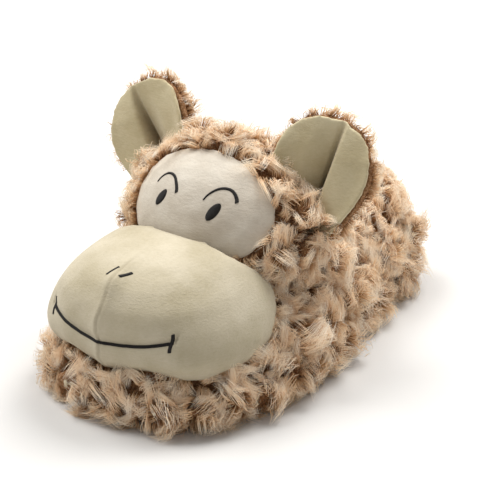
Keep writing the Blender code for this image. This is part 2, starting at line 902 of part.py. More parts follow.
def make_mouth(material):
    """Smile with an upright tick at each end, as one bar."""
    path = [mouth_point(i / 12.0 - 1.0) for i in range(25)]
    mouth = stroke("mouth", [p for p, _ in path], [n for _, n in path], lambda s: MOUTH_WIDTH, material)
    for side in (-1.0, 1.0):
        points, normals = [], []
        for i in range(5):
            x = side * MOUTH_HALF
            z = MOUTH_HEIGHT + MOUTH_CURVE + (i / 4.0 - 0.5) * MOUTH_TICK
            direction = facing(MUZZLE, x, z)
            points.append(egg_point(MUZZLE, direction))
            normals.append(egg_normal(MUZZLE, direction))
        tick = stroke(f"mouth_tick_{int(side)}", points, normals, lambda s: MOUTH_WIDTH, material)
        combine(mouth, hide_cutter(tick), "UNION")
    return mouth


def centre_over_origin():
    """Move every mesh alike, so that the middle of the slipper's box lies over the origin."""
    graph = bpy.context.evaluated_depsgraph_get()
    points = []
    for obj in bpy.data.objects:
        if obj.hide_render:
            continue
        shown = obj.evaluated_get(graph)
        points.extend(vertex.co.copy() for vertex in shown.to_mesh().vertices)
        shown.to_mesh_clear()
    across = [point.x for point in points]
    along = [point.y for point in points]
    middle = Vector((min(across) + max(across), min(along) + max(along), 0.0)) / 2.0
    for obj in bpy.data.objects:
        obj.data.transform(Matrix.Translation(-middle))


def main():
    clear_scene()
    plush = principled("rosette plush", (0.52, 0.38, 0.25), 0.95, 0.3)
    velour = principled("cream velour", (0.76, 0.70, 0.56), 0.9, 0.3)
    fleece = principled("ear fleece", (0.60, 0.53, 0.36), 0.9, 0.2)
    thread = principled("black stitching", (0.012, 0.010, 0.009), 0.6)
    sole_cloth = principled("sole cloth", (0.36, 0.27, 0.19), 0.9)
    lining = principled("insole fleece", (0.70, 0.63, 0.50), 0.95, 0.2)

    make_outsole(sole_cloth)
    make_insole(lining)
    vamp = hide_cutter(last_body("vamp_cutter", lambda along: skin_grow(along) + GAP, -0.01))
    brow = hide_cutter(egg_body("brow_cutter", HEAD, PANEL_THICKNESS + 2.5 * GAP, 44, 26))
    seat = hide_cutter(egg_body("head_seat_cutter", HEAD, GAP, 24, 14))
    spines = []
    make_upper(plush, spines)
    make_head(plush, vamp, spines)
    make_face_panel(velour, vamp, seat)
    make_muzzle(velour, vamp, brow)
    for label, side in (("left", 1.0), ("right", -1.0)):
        front = ear_shell(f"ear_lining_{label}", side, -LINING_THICKNESS, LINING_THICKNESS, fleece)
        back = ear_shell(f"ear_back_{label}", side, EAR_LAYER_GAP, BACK_THICKNESS, plush)
        combine(back, ear_locks(side), "UNION", overlapping=True)
        for layer in (front, back):
            combine(layer, seat, "DIFFERENCE")
            combine(layer, vamp, "DIFFERENCE")
    make_embroidery(thread)
    make_mouth(thread)
    centre_over_origin()


main()
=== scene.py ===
# %% [markdown]
# # A plush sheep slipper
#
# A closed-toe house slipper with a stuffed sheep's head over its toe. The CAD solids give every place
# and size. This lesson dresses them: soft padded forms under velour, deep curled pile on the body and
# the ears, fleece in the ears and satin stitches for the face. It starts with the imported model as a
# fixed frame.

# %% Load the frame
import math

import bmesh
import bpy
import numpy as np
from mathutils import Matrix, Vector
from mathutils.bvhtree import BVHTree


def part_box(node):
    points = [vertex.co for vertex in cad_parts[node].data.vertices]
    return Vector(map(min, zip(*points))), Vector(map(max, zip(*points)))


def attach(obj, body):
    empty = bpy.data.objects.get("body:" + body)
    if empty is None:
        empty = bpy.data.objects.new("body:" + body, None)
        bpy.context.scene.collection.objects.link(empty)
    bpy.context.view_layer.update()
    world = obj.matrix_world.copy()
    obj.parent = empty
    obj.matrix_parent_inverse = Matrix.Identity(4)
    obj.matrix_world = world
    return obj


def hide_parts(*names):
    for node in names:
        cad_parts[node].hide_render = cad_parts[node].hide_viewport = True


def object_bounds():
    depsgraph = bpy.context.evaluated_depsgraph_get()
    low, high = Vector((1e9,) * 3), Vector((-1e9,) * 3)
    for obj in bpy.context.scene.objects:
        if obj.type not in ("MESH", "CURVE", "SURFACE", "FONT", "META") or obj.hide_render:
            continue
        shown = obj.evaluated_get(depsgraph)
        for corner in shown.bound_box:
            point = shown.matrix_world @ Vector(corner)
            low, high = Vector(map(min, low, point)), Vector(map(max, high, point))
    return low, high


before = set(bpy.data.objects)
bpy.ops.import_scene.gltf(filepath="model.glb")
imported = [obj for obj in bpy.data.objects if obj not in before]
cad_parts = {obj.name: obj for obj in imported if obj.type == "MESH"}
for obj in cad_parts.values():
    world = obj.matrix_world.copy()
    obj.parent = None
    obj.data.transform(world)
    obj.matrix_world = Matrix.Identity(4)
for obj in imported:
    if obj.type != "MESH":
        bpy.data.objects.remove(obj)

MM = 0.001
cad_low, cad_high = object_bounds()
print("CAD box in mm:", [round((b - a) / MM, 1) for a, b in zip(cad_low, cad_high)])

# %% [markdown]
# ## The camera
#
# A product photo like this one is taken from far away with a long lens, so the slipper hardly narrows
# towards its heel. A long lens also keeps the near muzzle from looking too big. The camera could be
# tracked to an empty, but here its turn is worked out from the direction it looks along, which leaves
# nothing behind.

# %% Set the camera
VIEW_AZIMUTH = math.radians(36.0)
VIEW_ELEVATION = math.radians(25.0)
VIEW_DISTANCE = 1.508
VIEW_TARGET = Vector((0.0066, 0.0032, 0.0500))
LENS = 196.0

to_camera = Vector((
    math.sin(VIEW_AZIMUTH) * math.cos(VIEW_ELEVATION),
    -math.cos(VIEW_AZIMUTH) * math.cos(VIEW_ELEVATION),
    math.sin(VIEW_ELEVATION),
))
bpy.ops.object.select_all(action="DESELECT")
bpy.ops.object.camera_add(
    location=VIEW_TARGET + to_camera * VIEW_DISTANCE,
    rotation=to_camera.to_track_quat("Z", "Y").to_euler(),
)
camera = bpy.context.object
camera.data.lens = LENS
camera.data.clip_end = 20.0
bpy.context.scene.camera = camera

# %% [markdown]
# ## Colours and nodes
#
# Colours are screen values, tuned by comparing renders with the photo, but a shader counts in linear
# light. One function turns hex to linear. A second one adds a node with its settings and its links,
# so that a material reads as a short list.

# %% Helpers for materials


def linear(hex_colour):
    """An sRGB hex colour as the linear RGBA that a shader wants."""
    channels = [int(hex_colour[i:i + 2], 16) / 255.0 for i in (1, 3, 5)]
    return [c / 12.92 if c <= 0.04045 else ((c + 0.055) / 1.055) ** 2.4 for c in channels] + [1.0]


def add_node(material, kind, settings=None, inputs=None, stops=()):
    """Add a node with its properties, inputs and colour stops. A socket given as an input is linked."""
    tree = material.node_tree
    node = tree.nodes.new(kind)
    for key, value in (settings or {}).items():
        setattr(node, key, value)
    for key, value in (inputs or {}).items():
        if isinstance(value, bpy.types.NodeSocket):
            tree.links.new(value, node.inputs[key])
        else:
            node.inputs[key].default_value = value
    if stops:
        while len(node.color_ramp.elements) < len(stops):
            node.color_ramp.elements.new(0.5)
        for element, (place, colour) in zip(node.color_ramp.elements, stops):
            element.position = place
            element.color = linear(colour)
    return node


def new_material(name):
    """A material with only an empty Principled shader and its output."""
    material = bpy.data.materials.new(name)
    material.use_nodes = True
    return material, material.node_tree.nodes["Principled BSDF"]


def link(material, socket, target):
    material.node_tree.links.new(socket, target)


# %% [markdown]
# ## Materials
#
# *Short-nap velour* (polyester, brushed and shorn) covers the muzzle and the forehead. Its nap
# scatters light towards grazing angles, which is what the sheen layer does. Fine noise stands for
# pressed nap: its grain is about 1 mm up and down and 2 mm across. A broad noise stands for the
# places where hands have stroked it. A "fold" attribute, where a piece has one, is painted shade: it
# darkens the cloth deep in a crease, where real cloth lies folded on itself and no light gets in.

# %% Velour
# Colour of the painted shade deep in creases.
FOLD_SHADE_COLOUR = "#6E5636"


def make_velour(name, light, dark, nap_mm):
    material, shader = new_material(name)
    place = add_node(material, "ShaderNodeTexCoord").outputs["Object"]
    broad = add_node(
        material, "ShaderNodeTexNoise", inputs={"Vector": place, "Scale": 38.0, "Detail": 3.0}
    )
    combed = add_node(
        material, "ShaderNodeMapping", inputs={"Vector": place, "Scale": (0.45, 0.45, 1.0)}
    )
    nap = add_node(
        material, "ShaderNodeTexNoise",
        inputs={
            "Vector": combed.outputs["Vector"], "Scale": 1.0 / (nap_mm * MM),
            "Detail": 4.0, "Roughness": 0.7,
        },
    )
    mixed = add_node(
        material, "ShaderNodeMath", {"operation": "MULTIPLY_ADD"},
        {0: nap.outputs["Fac"], 1: 0.35, 2: broad.outputs["Fac"]},
    )
    tone = add_node(
        material, "ShaderNodeValToRGB", inputs={"Fac": mixed.outputs[0]},
        stops=((0.42, dark), (0.88, light)),
    )
    # Painted shade: the "fold" attribute darkens the cloth's colour deep in a crease.
    fold = add_node(material, "ShaderNodeAttribute", {"attribute_name": "fold"})
    deep = add_node(
        material, "ShaderNodeMix", {"data_type": "RGBA", "blend_type": "MULTIPLY"},
        {0: fold.outputs["Fac"], 6: tone.outputs["Color"], 7: linear(FOLD_SHADE_COLOUR)},
    )
    bump = add_node(
        material, "ShaderNodeBump",
        inputs={"Height": nap.outputs["Fac"], "Strength": 0.6, "Distance": 0.6 * MM},
    )
    link(material, deep.outputs[2], shader.inputs["Base Color"])
    link(material, bump.outputs["Normal"], shader.inputs["Normal"])
    shader.inputs["Roughness"].default_value = 0.95
    shader.inputs["Specular IOR Level"].default_value = 0.15
    shader.inputs["Sheen Weight"].default_value = 0.35
    shader.inputs["Sheen Roughness"].default_value = 0.45
    shader.inputs["Sheen Tint"].default_value = linear("#FFF6E6")
    return material


velour = make_velour("shorn olive-cream velour", "#C0B6A0", "#A69B80", 0.9)
brow_velour = make_velour("shorn pink-cream velour", "#D2CABC", "#BAAE9D", 1.2)
ear_fleece = make_velour("brushed olive fleece", "#C9BD9D", "#AFA07C", 1.1)
footbed_fleece = make_velour("curly footbed fleece", "#E3D8C0", "#C4B594", 2.2)

# %% [markdown]
# *Rosette plush* is a knitted backing with long polyester pile, curled into roses by tumbling. Deep
# between the tufts almost no light comes back, so the roots are painted a deep brown as shade, and
# the tips are bleached cream. Each hair carries its own place from root to tip and its tuft's shade
# as attributes, which stay with it. A tuft's shade is random tone, darker in the partings as painted
# shade and lighter along the hood's seams as a painted highlight.

# %% Plush


def make_pile():
    material, shader = new_material("rosette plush pile")
    along = add_node(material, "ShaderNodeAttribute", {"attribute_name": "along"})
    tuft = add_node(material, "ShaderNodeAttribute", {"attribute_name": "tuft"})
    shade = add_node(
        material, "ShaderNodeMath", {"operation": "MULTIPLY_ADD"},
        {0: tuft.outputs["Fac"], 1: 0.45, 2: along.outputs["Fac"]},
    )
    # Dark roots are painted shade between the tufts; the pale tips are the pile's own bleached colour.
    tone = add_node(
        material, "ShaderNodeValToRGB", inputs={"Fac": shade.outputs[0]},
        stops=(
            (0.0, "#7A5636"), (0.14, "#BC9268"), (0.32, "#EACBA4"), (0.56, "#FAE6CA"), (0.92, "#FFF7E8"),
        ),
    )
    through = add_node(material, "ShaderNodeBsdfTranslucent", inputs={"Color": tone.outputs["Color"]})
    both = add_node(
        material, "ShaderNodeMixShader",
        inputs={0: 0.45, 1: shader.outputs["BSDF"], 2: through.outputs["BSDF"]},
    )
    surface = material.node_tree.nodes["Material Output"].inputs["Surface"]
    link(material, both.outputs["Shader"], surface)
    link(material, tone.outputs["Color"], shader.inputs["Base Color"])
    shader.inputs["Roughness"].default_value = 0.85
    shader.inputs["Specular IOR Level"].default_value = 0.25
    shader.inputs["Sheen Weight"].default_value = 0.15
    shader.inputs["Sheen Roughness"].default_value = 0.4
    return material


LOOP_SIZE = 1.2 * MM


def make_backing():
    """Knitted backing: loops of 1.2 mm, seen only where the pile parts."""
    material, shader = new_material("knitted plush backing")
    place = add_node(material, "ShaderNodeTexCoord").outputs["Object"]
    loops = add_node(
        material, "ShaderNodeTexVoronoi", inputs={"Vector": place, "Scale": 1.0 / LOOP_SIZE}
    )
    tone = add_node(
        material, "ShaderNodeValToRGB", inputs={"Fac": loops.outputs["Distance"]},
        stops=((0.1, "#A98463"), (0.7, "#7A5638")),
    )
    bump = add_node(
        material, "ShaderNodeBump",
        {"invert": True}, {"Height": loops.outputs["Distance"], "Strength": 0.6, "Distance": 0.4 * MM},
    )
    link(material, tone.outputs["Color"], shader.inputs["Base Color"])
    link(material, bump.outputs["Normal"], shader.inputs["Normal"])
    shader.inputs["Roughness"].default_value = 0.95
    shader.inputs["Specular IOR Level"].default_value = 0.1
    return material


pile = make_pile()
backing = make_backing()

# %% [markdown]
# *Embroidery thread* is black trilobal polyester: dark, with a soft gloss along each laid thread.
# *Sole cloth* is a brown twill, its ribs drawn 2.8 mm apart, coarser than real ones, so that they
# show.

# %% Thread and sole cloth


def make_thread():
    material, shader = new_material("trilobal embroidery thread")
    place = add_node(material, "ShaderNodeTexCoord").outputs["Object"]
    ply = add_node(
        material, "ShaderNodeTexNoise", inputs={"Vector": place, "Scale": 1500.0, "Detail": 2.0}
    )
    tone = add_node(
        material, "ShaderNodeValToRGB", inputs={"Fac": ply.outputs["Fac"]},
        stops=((0.3, "#0E0B0A"), (0.75, "#1E1815")),
    )
    link(material, tone.outputs["Color"], shader.inputs["Base Color"])
    shader.inputs["Roughness"].default_value = 0.6
    shader.inputs["Specular IOR Level"].default_value = 0.3
    return material


# A wave texture repeats every 0.314 of this, so the ribs lie 2.8 mm apart.
RIB_WAVE = 1.4 * MM * 6.28


def make_twill():
    material, shader = new_material("brown sole twill")
    place = add_node(material, "ShaderNodeTexCoord").outputs["Object"]
    turned = add_node(
        material, "ShaderNodeMapping",
        inputs={"Vector": place, "Rotation": (0.0, 0.0, math.radians(45.0))},
    )
    ribs = add_node(
        material, "ShaderNodeTexWave",
        inputs={"Vector": turned.outputs["Vector"], "Scale": 1.0 / RIB_WAVE, "Distortion": 1.5},
    )
    wear = add_node(
        material, "ShaderNodeTexNoise", inputs={"Vector": place, "Scale": 45.0, "Detail": 4.0}
    )
    mixed = add_node(
        material, "ShaderNodeMath", {"operation": "MULTIPLY_ADD"},
        {0: ribs.outputs["Fac"], 1: 0.5, 2: wear.outputs["Fac"]},
    )
    tone = add_node(
        material, "ShaderNodeValToRGB", inputs={"Fac": mixed.outputs[0]},
        stops=((0.3, "#4E3A2A"), (1.0, "#8B6D50")),
    )
    bump = add_node(
        material, "ShaderNodeBump",
        inputs={"Height": ribs.outputs["Fac"], "Strength": 0.5, "Distance": 0.3 * MM},
    )
    link(material, tone.outputs["Color"], shader.inputs["Base Color"])
    link(material, bump.outputs["Normal"], shader.inputs["Normal"])
    shader.inputs["Roughness"].default_value = 0.9
    shader.inputs["Specular IOR Level"].default_value = 0.2
    return material


thread = make_thread()
twill = make_twill()

# %% [markdown]
# ## Soft bodies under the cloth
#
# The CAD solids are faceted. A stuffed body has no facets, so each one is copied, closed into an even
# skin of small quads by a voxel remesh, and relaxed. A subdivision surface straight on the CAD mesh
# would pinch at the long triangles that its Boolean cuts leave; the remesh has none.

# %% Copy and soften a solid
SAME_POINT = 0.02 * MM


def copy_of(node, name):
    """A working copy of a CAD node, with its loose triangles merged."""
    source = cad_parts[node]
    piece = bpy.data.objects.new(name, source.data.copy())
    bpy.context.scene.collection.objects.link(piece)
    bpy.ops.object.select_all(action="DESELECT")
    piece.select_set(True)
    bpy.context.view_layer.objects.active = piece
    bpy.ops.object.mode_set(mode="EDIT")
    bpy.ops.mesh.select_all(action="SELECT")
    bpy.ops.mesh.remove_doubles(threshold=SAME_POINT)
    bpy.ops.object.mode_set(mode="OBJECT")
    piece.data.materials.clear()
    return piece


def finish_modifiers(piece):
    bpy.ops.object.select_all(action="DESELECT")
    piece.select_set(True)
    bpy.context.view_layer.objects.active = piece
    for modifier in list(piece.modifiers):
        bpy.ops.object.modifier_apply(modifier=modifier.name)


def soften(piece, voxel, rounds, levels=0):
    """Even quads, relaxed, then subdivided."""
    remesh = piece.modifiers.new("even skin", "REMESH")
    remesh.mode = "VOXEL"
    remesh.voxel_size = voxel
    relax = piece.modifiers.new("relaxed", "SMOOTH")
    relax.factor = 0.5
    relax.iterations = rounds
    if levels:
        finer = piece.modifiers.new("finer", "SUBSURF")
        finer.levels = levels
        finer.render_levels = levels
    finish_modifiers(piece)
    bpy.ops.object.shade_smooth()
    return piece


def dress(piece, material, slot, *nodes):
    """Give a finished piece its material, its body and the nodes it stands for. The record slot is not
    used.
    """
    piece.data.materials.clear()
    piece.data.materials.append(material)
    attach(piece, "root")
    if nodes:
        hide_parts(*nodes)
    print(f"{piece.name}: {len(piece.data.polygons)} faces")
    return piece


def coordinates(piece):
    flat = np.empty(len(piece.data.vertices) * 3)
    piece.data.vertices.foreach_get("co", flat)
    return flat.reshape(-1, 3)


def set_coordinates(piece, points):
    piece.data.vertices.foreach_set("co", points.ravel())
    piece.data.update()


def vertex_normals(piece):
    flat = np.empty(len(piece.data.vertices) * 3)
    piece.data.vertex_normals.foreach_get("vector", flat)
    return flat.reshape(-1, 3)


def paint_fold_shade(piece, values):
    """Keep how deep in a fold each point lies, from 0 to 1, as painted shade in the cloth's colour."""
    fold = piece.data.attributes.new("fold", "FLOAT", "POINT")
    fold.data.foreach_set("value", np.clip(values, 0.0, 1.0).astype(np.float32))


# %% [markdown]
# ## The plush body
#
# The body is one hollow form: the pile's backing outside and the lining inside, joined at the collar.
# The CAD locks melt into soft lumps here, and the pile grows from them.

# %% Body and head
INSOLE_LOW, INSOLE_HIGH = (np.array(corner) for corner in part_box("insole"))
AXIS_X = (INSOLE_LOW[0] + INSOLE_HIGH[0]) / 2.0
AXIS_Y = (INSOLE_LOW[1] + INSOLE_HIGH[1]) / 2.0

body_skin = soften(copy_of("upper", "body_backing"), 2.7 * MM, 10)
dress(body_skin, backing, "rosette plush", "upper")
head_skin = soften(copy_of("head", "head_backing"), 2.5 * MM, 12)
dress(head_skin, backing, "rosette plush", "head")

# %% [markdown]
# ## Stuffed velour muzzle
#
# The muzzle is two velour cups sewn down the middle and stuffed until they are firm. Cloth under
# pressure gives that: the softened copy of the CAD muzzle swells, and no point of it may move further
# than 2.5 mm. Then formulas raise the seam and press in the mouth's groove and the chin's dimples.

# %% Muzzle


def inflate(piece, pressure, most, steps=20):
    """Cloth swollen by inner pressure without gravity, with each point held within a cap."""
    start = coordinates(piece)
    cloth = piece.modifiers.new("swell", "CLOTH")
    cloth.settings.use_pressure = True
    cloth.settings.uniform_pressure_force = pressure
    cloth.settings.tension_stiffness = 20.0
    cloth.settings.compression_stiffness = 20.0
    cloth.settings.bending_stiffness = 0.5
    cloth.settings.effector_weights.gravity = 0.0
    cloth.point_cache.frame_start = 1
    cloth.point_cache.frame_end = steps
    for step in range(1, steps + 1):
        bpy.context.scene.frame_set(step)
    finish_modifiers(piece)
    bpy.context.scene.frame_set(1)
    moved = coordinates(piece) - start
    far = np.linalg.norm(moved, axis=1, keepdims=True)
    set_coordinates(piece, start + moved * np.minimum(1.0, most / np.maximum(far, 1e-9)))


MUZZLE_LOW, MUZZLE_HIGH = (np.array(corner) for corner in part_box("muzzle"))
MUZZLE_X = (MUZZLE_LOW[0] + MUZZLE_HIGH[0]) / 2.0
MOUTH_LOW, MOUTH_HIGH = (np.array(corner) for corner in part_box("mouth"))
MUZZLE_PRESSURE = 4.0
MOST_SWELL = 2.5 * MM
NOSE_DEPTH = (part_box("nostril_left")[0][1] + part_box("nostril_left")[1][1]) / 2.0 / MM - 5.0

muzzle = soften(copy_of("muzzle", "stuffed_muzzle"), 3.9 * MM, 5)
inflate(muzzle, MUZZLE_PRESSURE, MOST_SWELL)
finer = muzzle.modifiers.new("finer", "SUBSURF")
finer.levels = finer.render_levels = 2
finish_modifiers(muzzle)

points = coordinates(muzzle)
normals = vertex_normals(muzzle)
side = (points[:, 0] - MUZZLE_X) / MM
height = points[:, 2] / MM
depth = points[:, 1] / MM
forward = (MUZZLE_HIGH[1] - points[:, 1]) / (MUZZLE_HIGH[1] - MUZZLE_LOW[1])
front = np.clip((forward - 0.55) / 0.25, 0.0, 1.0)
mouth_z = MOUTH_LOW[2] / MM + 2.0 + 0.0034 * side ** 2
seam_side = side - 0.7 * np.sin(height * 0.30)
seam_ridge = 2.4 * np.exp(-np.abs(seam_side) / 5.0) * front
seam_stitch = -0.9 * np.exp(-((seam_side - 0.4) / 0.8) ** 2) * front
nose_hood = 1.6 * np.exp(-(side / 6.0) ** 2 - ((depth - NOSE_DEPTH) / 6.0) ** 2) * (height > 60.0)
mouth_groove = -1.2 * np.exp(-((height - mouth_z) / 2.4) ** 2) * front * (np.abs(side) < 41.0)
chin = np.clip((36.0 - height) / 10.0, 0.0, 1.0)
chin_dimples = -3.2 * np.exp(-((np.abs(side) - 26.0) / 6.0) ** 2) * chin
cheek = 1.6 * np.exp(-((np.abs(side) - 46.0) / 9.0) ** 2 - ((height - 38.0) / 12.0) ** 2)
raised = seam_ridge + seam_stitch + nose_hood + mouth_groove + chin_dimples + cheek
set_coordinates(muzzle, points + normals * (raised * MM)[:, None])
# Painted shade: the seam's stitch line, the mouth's groove and the chin's dimples are darkened in the
# velour's colour.
paint_fold_shade(muzzle, -0.22 * seam_stitch - 0.12 * mouth_groove - 0.10 * chin_dimples)
bpy.ops.object.shade_smooth()
dress(muzzle, velour, "cream velour", "muzzle")

# %% [markdown]
# ## Forehead
#
# The forehead is a padded velour patch sewn round its edge. It is the CAD panel, swollen a little and
# smoothed, so that it rolls in at its seam.

# %% Forehead pad
forehead = copy_of("face_panel", "forehead")
thicker = forehead.modifiers.new("thicker", "DISPLACE")
thicker.strength = 0.7 * MM
thicker.mid_level = 0.0
soften(forehead, 1.1 * MM, 10)
dress(forehead, brow_velour, "cream velour", "face_panel")

# %% [markdown]
# ## Ears
#
# An ear is two layers: plush behind and fleece in front, folded once at the base, so that a deep
# pleat runs up the lining. The copy gets an even skin from a remesh, and the pleat is pressed deeper
# along a line, with painted shade in its crease.

# %% Ears
EAR_SEAT = Vector((0.0470, -0.0012, 0.0845))
EAR_TURNS = {"left": (1.0, 8.0, 20.0), "right": (-1.0, -30.0, 4.0)}
EAR_TALL = 0.066
EAR_ROOT = 0.010


def ear_frame(label):
    """Matrix from an ear's own frame to its seat: x across, z up, -y to the front."""
    sign, lean, turn = EAR_TURNS[label]
    place = Matrix.Translation((AXIS_X + sign * EAR_SEAT.x, AXIS_Y + EAR_SEAT.y, EAR_SEAT.z))
    place @= Matrix.Rotation(math.radians(turn), 4, "Z") @ Matrix.Rotation(math.radians(lean), 4, "Y")
    return place @ Matrix.Diagonal((sign, 1.0, 1.0, 1.0))


def soft_step(values, low, high):
    share = np.clip((values - low) / (high - low), 0.0, 1.0)
    return share * share * (3.0 - 2.0 * share)


def press_pleat(piece, label):
    """Fold the outer third forward over a deep crease that closes towards the base, with painted shade
    in the crease.
    """
    place = np.array(ear_frame(label))
    back = np.linalg.inv(place)
    points = coordinates(piece)
    local = points @ back[:3, :3].T + back[:3, 3]
    up = np.clip((local[:, 2] + EAR_ROOT) / EAR_TALL, 0.0, 1.0)
    past = local[:, 0] / MM - (1.0 + 7.0 * up)
    fold = 13.0 * (1.0 - up) ** 0.7 * soft_step(past, -0.5, 2.6)
    fold *= np.exp(-(np.maximum(past - 4.0, 0.0) / 10.0) ** 2)
    crease = -3.6 * np.exp(-((past + 1.6) / 1.8) ** 2) * (1.0 - up) ** 0.5
    lobe = 2.5 * np.exp(-((past + 15.0) / 6.0) ** 2) * np.sin(math.pi * up)
    lap = -4.5 * (1.0 - up) ** 0.6 * np.exp(-((past - 2.6) / 3.2) ** 2)
    forward = place[:3, :3] @ np.array((0.0, -1.0, 0.0))
    across = place[:3, :3] @ np.array((1.0, 0.0, 0.0))
    raised = np.outer((fold + crease + lobe) * MM, forward) + np.outer(lap * MM, across)
    set_coordinates(piece, points + raised)
    # Painted shade deep in the crease, spreading a little round it towards the base.
    dark = np.exp(-((past + 0.2) / 1.6) ** 2) * (1.0 - up) ** 0.6
    paint_fold_shade(piece, dark + 0.45 * np.exp(-((past + 2.0) / 3.6) ** 2) * (1.0 - up) ** 1.2)


linings = {}
backs = {}
for label in ("left", "right"):
    linings[label] = soften(copy_of(f"ear_lining_{label}", f"ear_fleece_{label}"), 0.9 * MM, 8)
    press_pleat(linings[label], label)
    dress(linings[label], ear_fleece, "ear fleece", f"ear_lining_{label}")
    backs[label] = soften(copy_of(f"ear_back_{label}", f"ear_plush_{label}"), 1.3 * MM, 6)
    dress(backs[label], backing, "rosette plush", f"ear_back_{label}")

# %% [markdown]
# ## Collar lining
#
# Inside the collar the slipper is lined with fleece. It could be modelled by itself, but the body's
# inner wall already has its shape. So a copy of the body keeps only its inner faces, and Solidify
# gives them 1.2 mm towards the foot.

# %% Collar lining
FOOT_END = 0.03
FOOT_HEIGHT = 0.030
FLEECE_THICKNESS = 1.2 * MM


def foot_line(middle):
    """The point of the foot's middle line beside each given point."""
    return np.stack((
        np.full(len(middle), AXIS_X),
        np.clip(middle[:, 1], INSOLE_LOW[1] + FOOT_END, INSOLE_HIGH[1] - FOOT_END),
        np.full(len(middle), FOOT_HEIGHT),
    ), axis=1)


def face_values(piece, name, width=3):
    flat = np.empty(len(piece.data.polygons) * width, dtype=np.float32)
    piece.data.polygons.foreach_get(name, flat)
    return flat.reshape(-1, width)


inner = body_skin.copy()
inner.data = body_skin.data.copy()
inner.name = "collar_lining"
for key in list(inner.keys()):
    del inner[key]
bpy.context.scene.collection.objects.link(inner)
middles, facings = face_values(inner, "center"), face_values(inner, "normal")
away = middles - foot_line(middles)
outward = (away * facings)[:, :2].sum(axis=1) / np.maximum(np.linalg.norm(away[:, :2], axis=1), 1e-6)
ceiling = (facings[:, 2] < -0.5) & (middles[:, 2] > 0.03)
lined = ((outward < 0.35) | ceiling) & (middles[:, 2] > 0.012)
rim = (facings[:, 2] > 0.3) & (middles[:, 1] < 0.0)
editable = bmesh.new()
editable.from_mesh(inner.data)
editable.faces.ensure_lookup_table()
gone = [editable.faces[i] for i in np.flatnonzero(~lined | rim)]
bmesh.ops.delete(editable, geom=gone, context="FACES")
editable.to_mesh(inner.data)
editable.free()
wall = inner.modifiers.new("fleece", "SOLIDIFY")
wall.thickness = FLEECE_THICKNESS
wall.offset = 1.0
finish_modifiers(inner)
bpy.ops.object.shade_smooth()
dress(inner, footbed_fleece, "insole fleece")

# %% [markdown]
# ## Footbed and sole
#
# Inside lies a fleece-covered footbed, crowned in the middle. It carries the foot, so it is a soft
# pad. The sole has the right form in CAD already, so it only gets its cloth.

# %% Footbed and sole
footbed = soften(copy_of("insole", "footbed"), 2.0 * MM, 6)
dress(footbed, footbed_fleece, "insole fleece", "insole")
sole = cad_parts["outsole"]
sole.data.materials.clear()
sole.data.materials.append(twill)

# %% [markdown]
# ## Seam of the hood
#
# Where the hood meets the heel quarter, the photo shows a pale, smoother strip running down behind
# the ear. It is read here as pile shorn along the seam, and its paleness is painted as a highlight. A
# strip of bare cloth would do, but seen from behind it looks stuck on. So only a line of spots is
# found here: the hairs near it grow short, and they are painted paler.

# %% Find the seam


def triangles_of(piece):
    mesh = piece.data
    mesh.calc_loop_triangles()
    flat = np.empty(len(mesh.loop_triangles) * 3, dtype=np.int32)
    mesh.loop_triangles.foreach_get("vertices", flat)
    return flat.reshape(-1, 3)


def tree_of(piece):
    return BVHTree.FromPolygons(
        [tuple(point) for point in coordinates(piece)], [tuple(face) for face in triangles_of(piece)]
    )


SEAM_LINE = np.array(((0.008, 0.071), (0.014, 0.065), (0.021, 0.058), (0.028, 0.050), (0.034, 0.043)))
OUTSIDE = 0.2
body_tree = tree_of(body_skin)
seam_spots = []
for sign in (1.0, -1.0):
    for share in np.linspace(0.0, 4.0, 13):
        y, z = (np.interp(share, range(5), SEAM_LINE[:, k]) for k in (0, 1))
        start = Vector((AXIS_X + sign * OUTSIDE, AXIS_Y + y, z))
        spot = body_tree.ray_cast(start, Vector((-sign, 0.0, 0.0)))[0]
        seam_spots.append(np.array(spot))
seam_spots = np.array(seam_spots)
print(f"{len(seam_spots)} spots along the hood's seams")

# %% [markdown]
# ## Pile
#
# Real pile is tens of thousands of hairs. Blender's hair system would not survive an export as a
# mesh, so the hairs are flat tapered ribbons in joined meshes: one ribbon is modelled, then copied
# and bent along its own curl. Hairs gather in tufts, and tufts turn round the middle of a rose, which
# leaves dark partings between the roses.

# %% One hair
HAIR_STEPS = 3
HAIR_WIDTH = 0.36 * MM

bpy.ops.object.select_all(action="DESELECT")
bpy.ops.mesh.primitive_plane_add(size=1.0, location=(0.0, 0.0, 0.0))
hair = bpy.context.object
bpy.ops.object.mode_set(mode="EDIT")
bpy.ops.transform.translate(value=(0.0, 0.5, 0.0))
bpy.ops.mesh.select_all(action="DESELECT")
bpy.ops.object.mode_set(mode="OBJECT")
for edge in hair.data.edges:
    edge.select = all(hair.data.vertices[i].co.y > 0.9 for i in edge.vertices)
bpy.ops.object.mode_set(mode="EDIT")
bpy.ops.mesh.select_mode(type="EDGE")
for step in range(HAIR_STEPS - 1):
    bpy.ops.mesh.extrude_region_move(TRANSFORM_OT_translate={"value": (0.0, 1.0, 0.0)})
bpy.ops.mesh.merge(type="CENTER")
bpy.ops.object.mode_set(mode="OBJECT")
hair_points = np.array([vertex.co[:] for vertex in hair.data.vertices])
hair_along = hair_points[:, 1] / HAIR_STEPS
hair_across = hair_points[:, 0] * np.where(hair_along > 0.6, 0.75, 1.0)
hair_faces = [list(face.vertices) for face in hair.data.polygons]
bpy.data.objects.remove(hair)
print(f"one hair: {len(hair_points)} points, {len(hair_faces)} faces")

# %% [markdown]
# Roots are scattered evenly over the chosen faces. Each root finds its rose and its tuft, and both
# decide how its hair leans. A hair rises from the skin, leans with the swirl, and its tip turns
# towards its tuft's tip.

# %% Grow hairs
ROSE_POOL = 40000     # so many roots are enough to pick the roses' middles from
TUFT_POOL = 60000     # and so many for the tufts
BATCH = 4000          # points compared at a time, to save memory
STRAY = 0.62
BOW = 0.34


